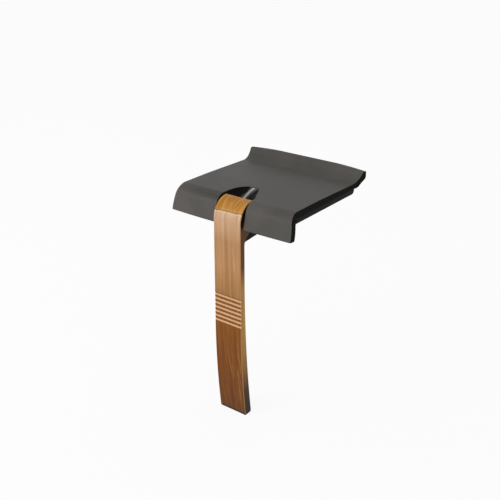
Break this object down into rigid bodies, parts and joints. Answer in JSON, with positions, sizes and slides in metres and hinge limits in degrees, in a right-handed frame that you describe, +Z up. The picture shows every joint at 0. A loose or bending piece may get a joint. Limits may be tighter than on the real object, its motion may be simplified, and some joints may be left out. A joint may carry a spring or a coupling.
{
  "type": "fold down wall seat",
  "caption": "Wall mounted seat that folds up flat, with an S-curved moulded shell on a hinged steel frame and one wooden front leg kept upright by a stay bar.",
  "frame": {"origin": "middle of the four wall screws, on the wall plane", "axes": "+X to the right seen from the room, +Y into the wall, +Z up"},
  "size_m": [0.3022, 0.33, 0.5225],
  "materials": {
    "shell": "anthracite moulded polyurethane, satin, fine moulded grain",
    "wood": "walnut-toned timber under a glossy lacquer",
    "frame_paint": "black powder coat on steel",
    "stainless": "turned stainless steel",
    "bush": "black acetal",
    "insert_brass": "brass",
    "foot_rubber": "black rubber"
  },
  "bodies": {
    "wall": {"wall_bracket": "frame_paint", "hinge_rod": "stainless", "hinge_rod_clip": "stainless", "stay_wall_pin": "stainless", "stay_wall_clip": "stainless", "thrust_washers": "bush"},
    "seat": {"seat_shell": "shell", "front_cross_bar": "frame_paint", "rear_cross_bar": "frame_paint", "shell_screws": "stainless", "leaf_screws": "stainless", "side_rail_left": "frame_paint", "side_rail_right": "frame_paint", "hinge_leaf_left": "frame_paint", "hinge_leaf_right": "frame_paint", "hinge_bush_left": "bush", "hinge_bush_right": "bush", "pivot_cheek_left": "frame_paint", "pivot_cheek_right": "frame_paint", "pivot_pin": "stainless", "pivot_pin_clip": "stainless"},
    "leg": {"leg_board": "wood", "foot_pad": "foot_rubber", "stay_lug": "frame_paint", "lug_screws": "stainless", "lug_inserts": "insert_brass", "pivot_bush_left": "bush", "pivot_bush_right": "bush", "stay_leg_pin": "stainless", "stay_leg_clip": "stainless"},
    "stay": {"stay_bar": "frame_paint", "stay_bushes": "bush"}
  },
  "joints": [
    {"name": "seat_fold", "type": "hinge", "parent": "wall", "child": "seat", "pos_m": [0, -0.054, 0.014], "axis": [-1, 0, 0], "range_deg": [0, 90]},
    {"name": "leg_fold", "type": "hinge", "parent": "seat", "child": "leg", "pos_m": [0, -0.29, -0.005], "axis": [1, 0, 0], "range_deg": [0, 90]},
    {"name": "stay_swing", "type": "hinge", "parent": "wall", "child": "stay", "pos_m": [0, -0.067, -0.0395], "axis": [-1, 0, 0], "range_deg": [0, 90]}
  ],
  "couplings": [
    {"joint": "leg_fold", "follows": "seat_fold", "ratio": 1},
    {"joint": "stay_swing", "follows": "seat_fold", "ratio": 1}
  ]
}
